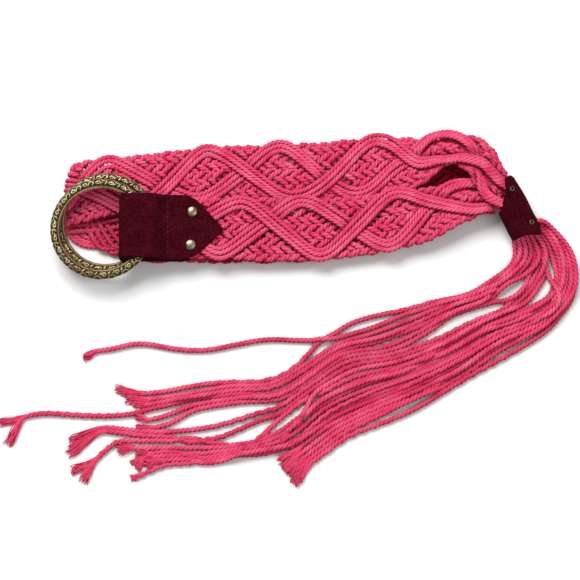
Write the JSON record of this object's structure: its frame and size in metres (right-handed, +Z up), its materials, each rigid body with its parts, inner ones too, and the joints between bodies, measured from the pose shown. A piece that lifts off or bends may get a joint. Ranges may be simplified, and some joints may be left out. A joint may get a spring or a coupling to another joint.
{
  "type": "braided cord belt with o-rings",
  "caption": "Flat braided cord belt folded in layers, with stacked O-rings in a suede tab and a long cord fringe gathered in a suede collar.",
  "frame": {"origin": "middle of the belt's footprint, on the surface that the folded belt lies on", "axes": "+X along the folded band from the rings to the collar, +Y away from the fringe towards the back run, +Z up"},
  "size_m": [0.3508, 0.2276, 0.0299],
  "materials": {
    "cord": "matt twisted cotton cord",
    "suede": "brushed suede",
    "brass": "antiqued, dark in the relief",
    "nickel": "antiqued nickel"
  },
  "bodies": {
    "root": {"braided_band": "cord", "cord_fringe": "cord", "suede_tab": "suede", "suede_collar": "suede", "ring_lower": "brass", "ring_upper": "brass", "tab_rivet_far": "nickel", "tab_rivet_near": "nickel", "collar_eyelet_upper": "nickel", "collar_eyelet_lower": "nickel"}
  },
  "joints": []
}
